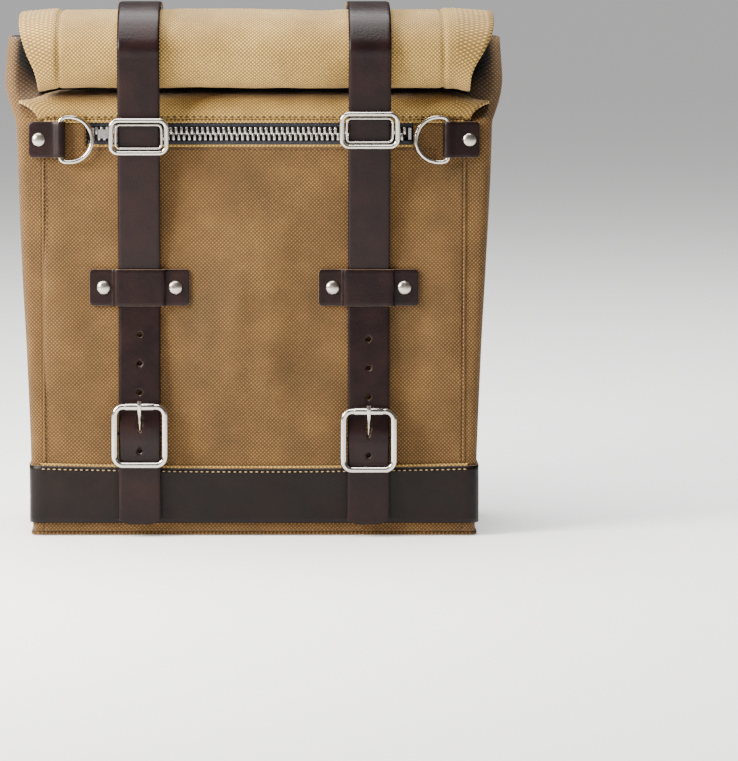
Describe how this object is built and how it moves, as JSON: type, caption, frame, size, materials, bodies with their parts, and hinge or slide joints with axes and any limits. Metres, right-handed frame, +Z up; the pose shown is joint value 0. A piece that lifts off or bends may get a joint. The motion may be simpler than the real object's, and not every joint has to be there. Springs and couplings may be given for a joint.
{
  "type": "saddlebag",
  "caption": "Roll-top waxed canvas saddlebag with a zipped front pocket, leather base band, two buckled closing straps and D-rings, for a motorcycle's side carrier.",
  "frame": {"origin": "centre of the base's underside, on the floor", "axes": "+Z up, -Y out of the zipped front, +Y out of the back that faces the motorcycle, +X to the viewer's right"},
  "size_m": [0.3518, 0.1656, 0.3742],
  "materials": {
    "waxed_canvas": "waxed twill, matt with a light sheen",
    "lining": "plain weave lining",
    "leather": "dark brown, satin",
    "nickel": "polished nickel",
    "zip_metal": "plated teeth",
    "zip_tape": "black woven tape",
    "board": "stiffener sheet"
  },
  "bodies": {
    "bag": {"back_board": "board", "back_panel": "waxed_canvas", "base_band": "leather", "base_board": "board", "bottom_panel": "waxed_canvas", "buckle_chape_left": "leather", "buckle_chape_right": "leather", "d_ring_rivet_left": "nickel", "d_ring_rivet_right": "nickel", "d_ring_tab_left": "leather", "d_ring_tab_right": "leather", "gusset_left": "waxed_canvas", "gusset_right": "waxed_canvas", "hanger_loop_left": "leather", "hanger_loop_right": "leather", "hanger_rivet_left_lower": "nickel", "hanger_rivet_left_upper": "nickel", "hanger_rivet_right_lower": "nickel", "hanger_rivet_right_upper": "nickel", "keeper_left": "leather", "keeper_right": "leather", "keeper_rivet_left_inner": "nickel", "keeper_rivet_left_outer": "nickel", "keeper_rivet_right_inner": "nickel", "keeper_rivet_right_outer": "nickel", "pocket_lining": "lining", "pocket_panel": "waxed_canvas", "shoulder_panel": "waxed_canvas", "strap_rivet_left_lower": "nickel", "strap_rivet_left_upper": "nickel", "strap_rivet_right_lower": "nickel", "strap_rivet_right_upper": "nickel", "zip_stop_end": "zip_metal", "zip_stop_start": "zip_metal", "zip_tape_lower": "zip_tape", "zip_tape_upper": "zip_tape", "zip_teeth_lower": "zip_metal", "zip_teeth_upper": "zip_metal"},
    "roll_top": {"roll_top": "waxed_canvas", "strap_left": "leather", "strap_right": "leather"},
    "strap_slide_left": {"strap_slide_left": "nickel"},
    "buckle_left": {"buckle_frame_left": "nickel"},
    "tongue_left": {"buckle_tongue_left": "nickel"},
    "roller_left": {"buckle_roller_left": "nickel"},
    "d_ring_left": {"d_ring_left": "nickel"},
    "strap_slide_right": {"strap_slide_right": "nickel"},
    "buckle_right": {"buckle_frame_right": "nickel"},
    "tongue_right": {"buckle_tongue_right": "nickel"},
    "roller_right": {"buckle_roller_right": "nickel"},
    "d_ring_right": {"d_ring_right": "nickel"},
    "zip_slider": {"zip_slider": "zip_metal"},
    "zip_pull": {"zip_pull": "zip_metal"}
  },
  "joints": [
    {"name": "roll_top_open", "type": "hinge", "parent": "bag", "child": "roll_top", "pos_m": [0, 0.0608, 0.319], "axis": [-1, 0, 0], "range_deg": [0, 75], "deforming": ["strap_left", "strap_right"]},
    {"name": "strap_slide_left_move", "type": "slide", "parent": "roll_top", "child": "strap_slide_left", "axis": [0, -0.1261, 0.992], "range_m": [-0.055, 0.006]},
    {"name": "buckle_rock_left", "type": "hinge", "parent": "bag", "child": "buckle_left", "pos_m": [-0.08, -0.0675, 0.0726], "axis": [1, 0, 0], "range_deg": [0, 8]},
    {"name": "tongue_swing_left", "type": "hinge", "parent": "buckle_left", "child": "tongue_left", "pos_m": [-0.08, -0.0675, 0.0726], "axis": [1, 0, 0], "range_deg": [0, 90]},
    {"name": "roller_spin_left", "type": "hinge", "parent": "buckle_left", "child": "roller_left", "pos_m": [-0.08, -0.0745, 0.0922], "axis": [1, 0, 0], "continuous": true},
    {"name": "d_ring_swing_left", "type": "hinge", "parent": "bag", "child": "d_ring_left", "pos_m": [-0.135, -0.0675, 0.2785], "axis": [0, 0, -1], "range_deg": [0, 140]},
    {"name": "strap_slide_right_move", "type": "slide", "parent": "roll_top", "child": "strap_slide_right", "axis": [0, -0.1261, 0.992], "range_m": [-0.055, 0.006]},
    {"name": "buckle_rock_right", "type": "hinge", "parent": "bag", "child": "buckle_right", "pos_m": [0.08, -0.0675, 0.0694], "axis": [1, 0, 0], "range_deg": [0, 8]},
    {"name": "tongue_swing_right", "type": "hinge", "parent": "buckle_right", "child": "tongue_right", "pos_m": [0.08, -0.0675, 0.0694], "axis": [1, 0, 0], "range_deg": [0, 90]},
    {"name": "roller_spin_right", "type": "hinge", "parent": "buckle_right", "child": "roller_right", "pos_m": [0.08, -0.0745, 0.089], "axis": [1, 0, 0], "continuous": true},
    {"name": "d_ring_swing_right", "type": "hinge", "parent": "bag", "child": "d_ring_right", "pos_m": [0.135, -0.0675, 0.2785], "axis": [0, 0, 1], "range_deg": [0, 140]},
    {"name": "zip_slide", "type": "slide", "parent": "bag", "child": "zip_slider", "axis": [1, 0, 0], "range_m": [0, 0.185]},
    {"name": "zip_pull_swing", "type": "hinge", "parent": "zip_slider", "child": "zip_pull", "pos_m": [-0.0927, -0.0678, 0.2825], "axis": [0, 0, 1], "range_deg": [0, 12]}
  ],
  "couplings": [
    {"joint": "buckle_rock_left", "follows": "roll_top_open", "ratio": 0.1},
    {"joint": "tongue_swing_left", "follows": "roll_top_open", "ratio": 1},
    {"joint": "buckle_rock_right", "follows": "roll_top_open", "ratio": 0.1},
    {"joint": "tongue_swing_right", "follows": "roll_top_open", "ratio": 1}
  ]
}
